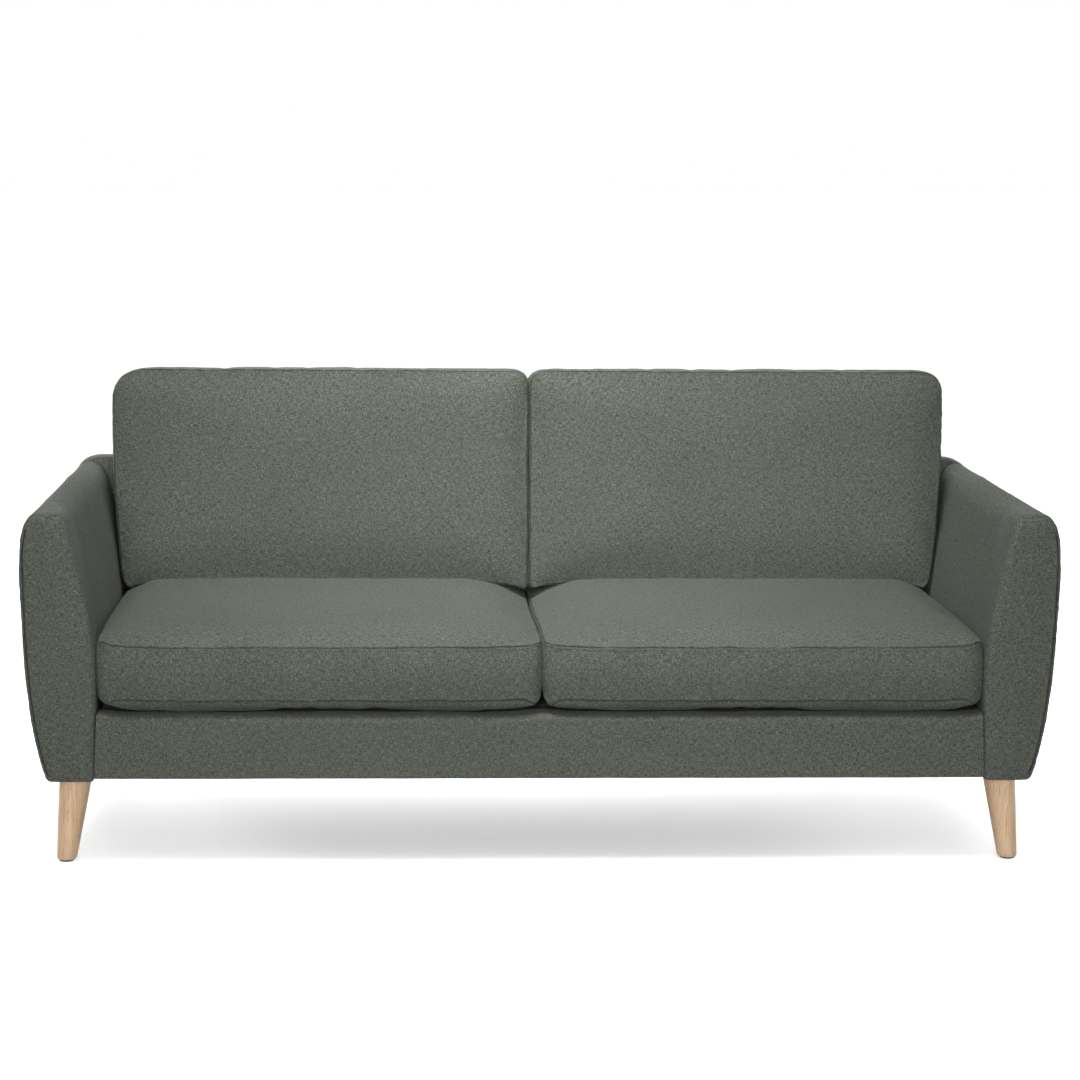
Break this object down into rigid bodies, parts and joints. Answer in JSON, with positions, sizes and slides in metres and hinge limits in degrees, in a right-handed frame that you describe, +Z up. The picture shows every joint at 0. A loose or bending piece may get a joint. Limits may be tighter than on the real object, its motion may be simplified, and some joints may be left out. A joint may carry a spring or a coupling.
{
  "type": "sofa",
  "caption": "Fabric sofa with loose seat and back cushions between leaf-shaped padded arms, on splayed turned wooden legs.",
  "frame": {"origin": "on the floor, under the middle of the overall box", "axes": "+X along the sofa's length to the right of someone facing it, -Y towards the front, +Z up"},
  "size_m": [1.92, 0.85, 0.8648],
  "materials": {
    "fabric": "grey-green flecked plain weave, matt",
    "lining": "black spunbond lining, matt",
    "foam": "cream polyurethane foam",
    "webbing": "woven elastic webbing",
    "leg_wood": "light oak, clear satin lacquer",
    "softwood": "sawn pine",
    "plywood": "raw plywood",
    "steel": "zinc plated"
  },
  "bodies": {
    "root": {"leg_front_left": "leg_wood", "leg_bolt_front_left": "steel", "leg_block_front_left": "softwood", "leg_rear_left": "leg_wood", "leg_bolt_rear_left": "steel", "leg_block_rear_left": "softwood", "arm_cover_left": "fabric", "arm_front_former_left": "plywood", "arm_rear_former_left": "plywood", "arm_top_rail_left": "softwood", "arm_board_left": "plywood", "arm_bolt_front_left": "steel", "arm_bolt_rear_left": "steel", "side_rail_left": "softwood", "seat_springs_left": "steel", "back_webbing_lower_left": "webbing", "back_webbing_upper_left": "webbing", "back_bolt_left": "steel", "leg_front_right": "leg_wood", "leg_bolt_front_right": "steel", "leg_block_front_right": "softwood", "leg_rear_right": "leg_wood", "leg_bolt_rear_right": "steel", "leg_block_rear_right": "softwood", "arm_cover_right": "fabric", "arm_front_former_right": "plywood", "arm_rear_former_right": "plywood", "arm_top_rail_right": "softwood", "arm_board_right": "plywood", "arm_bolt_front_right": "steel", "arm_bolt_rear_right": "steel", "side_rail_right": "softwood", "seat_springs_right": "steel", "back_webbing_lower_right": "webbing", "back_webbing_upper_right": "webbing", "back_bolt_right": "steel", "front_rail": "softwood", "rear_rail": "softwood", "centre_stretcher": "softwood", "back_top_rail": "softwood", "back_lower_rail": "softwood", "back_rib_left": "plywood", "back_rib_centre": "plywood", "back_rib_right": "plywood", "front_rail_cover": "fabric", "back_cover": "fabric", "seat_deck": "lining", "dust_cover": "lining"},
    "seat_cushion_left": {"seat_cover_left": "fabric", "seat_core_left": "foam"},
    "seat_zip_left": {"seat_zip_slider_left": "steel"},
    "back_cushion_left": {"back_cover_left": "fabric", "back_core_left": "foam"},
    "back_zip_left": {"back_zip_slider_left": "steel"},
    "seat_cushion_right": {"seat_cover_right": "fabric", "seat_core_right": "foam"},
    "seat_zip_right": {"seat_zip_slider_right": "steel"},
    "back_cushion_right": {"back_cover_right": "fabric", "back_core_right": "foam"},
    "back_zip_right": {"back_zip_slider_right": "steel"}
  },
  "joints": [
    {"name": "seat_slide_left", "type": "slide", "parent": "root", "child": "seat_cushion_left", "axis": [0, -1, 0], "range_m": [0, 0.72]},
    {"name": "back_lift_left", "type": "slide", "parent": "root", "child": "back_cushion_left", "axis": [0, 0, 1], "range_m": [0, 0.45]},
    {"name": "seat_zip_slide_left", "type": "slide", "parent": "seat_cushion_left", "child": "seat_zip_left", "axis": [-1, 0, 0], "range_m": [0, 0.55]},
    {"name": "back_zip_slide_left", "type": "slide", "parent": "back_cushion_left", "child": "back_zip_left", "axis": [-1, 0, 0], "range_m": [0, 0.55]},
    {"name": "seat_slide_right", "type": "slide", "parent": "root", "child": "seat_cushion_right", "axis": [0, -1, 0], "range_m": [0, 0.72]},
    {"name": "back_lift_right", "type": "slide", "parent": "root", "child": "back_cushion_right", "axis": [0, 0, 1], "range_m": [0, 0.45]},
    {"name": "seat_zip_slide_right", "type": "slide", "parent": "seat_cushion_right", "child": "seat_zip_right", "axis": [1, 0, 0], "range_m": [0, 0.55]},
    {"name": "back_zip_slide_right", "type": "slide", "parent": "back_cushion_right", "child": "back_zip_right", "axis": [1, 0, 0], "range_m": [0, 0.55]}
  ]
}
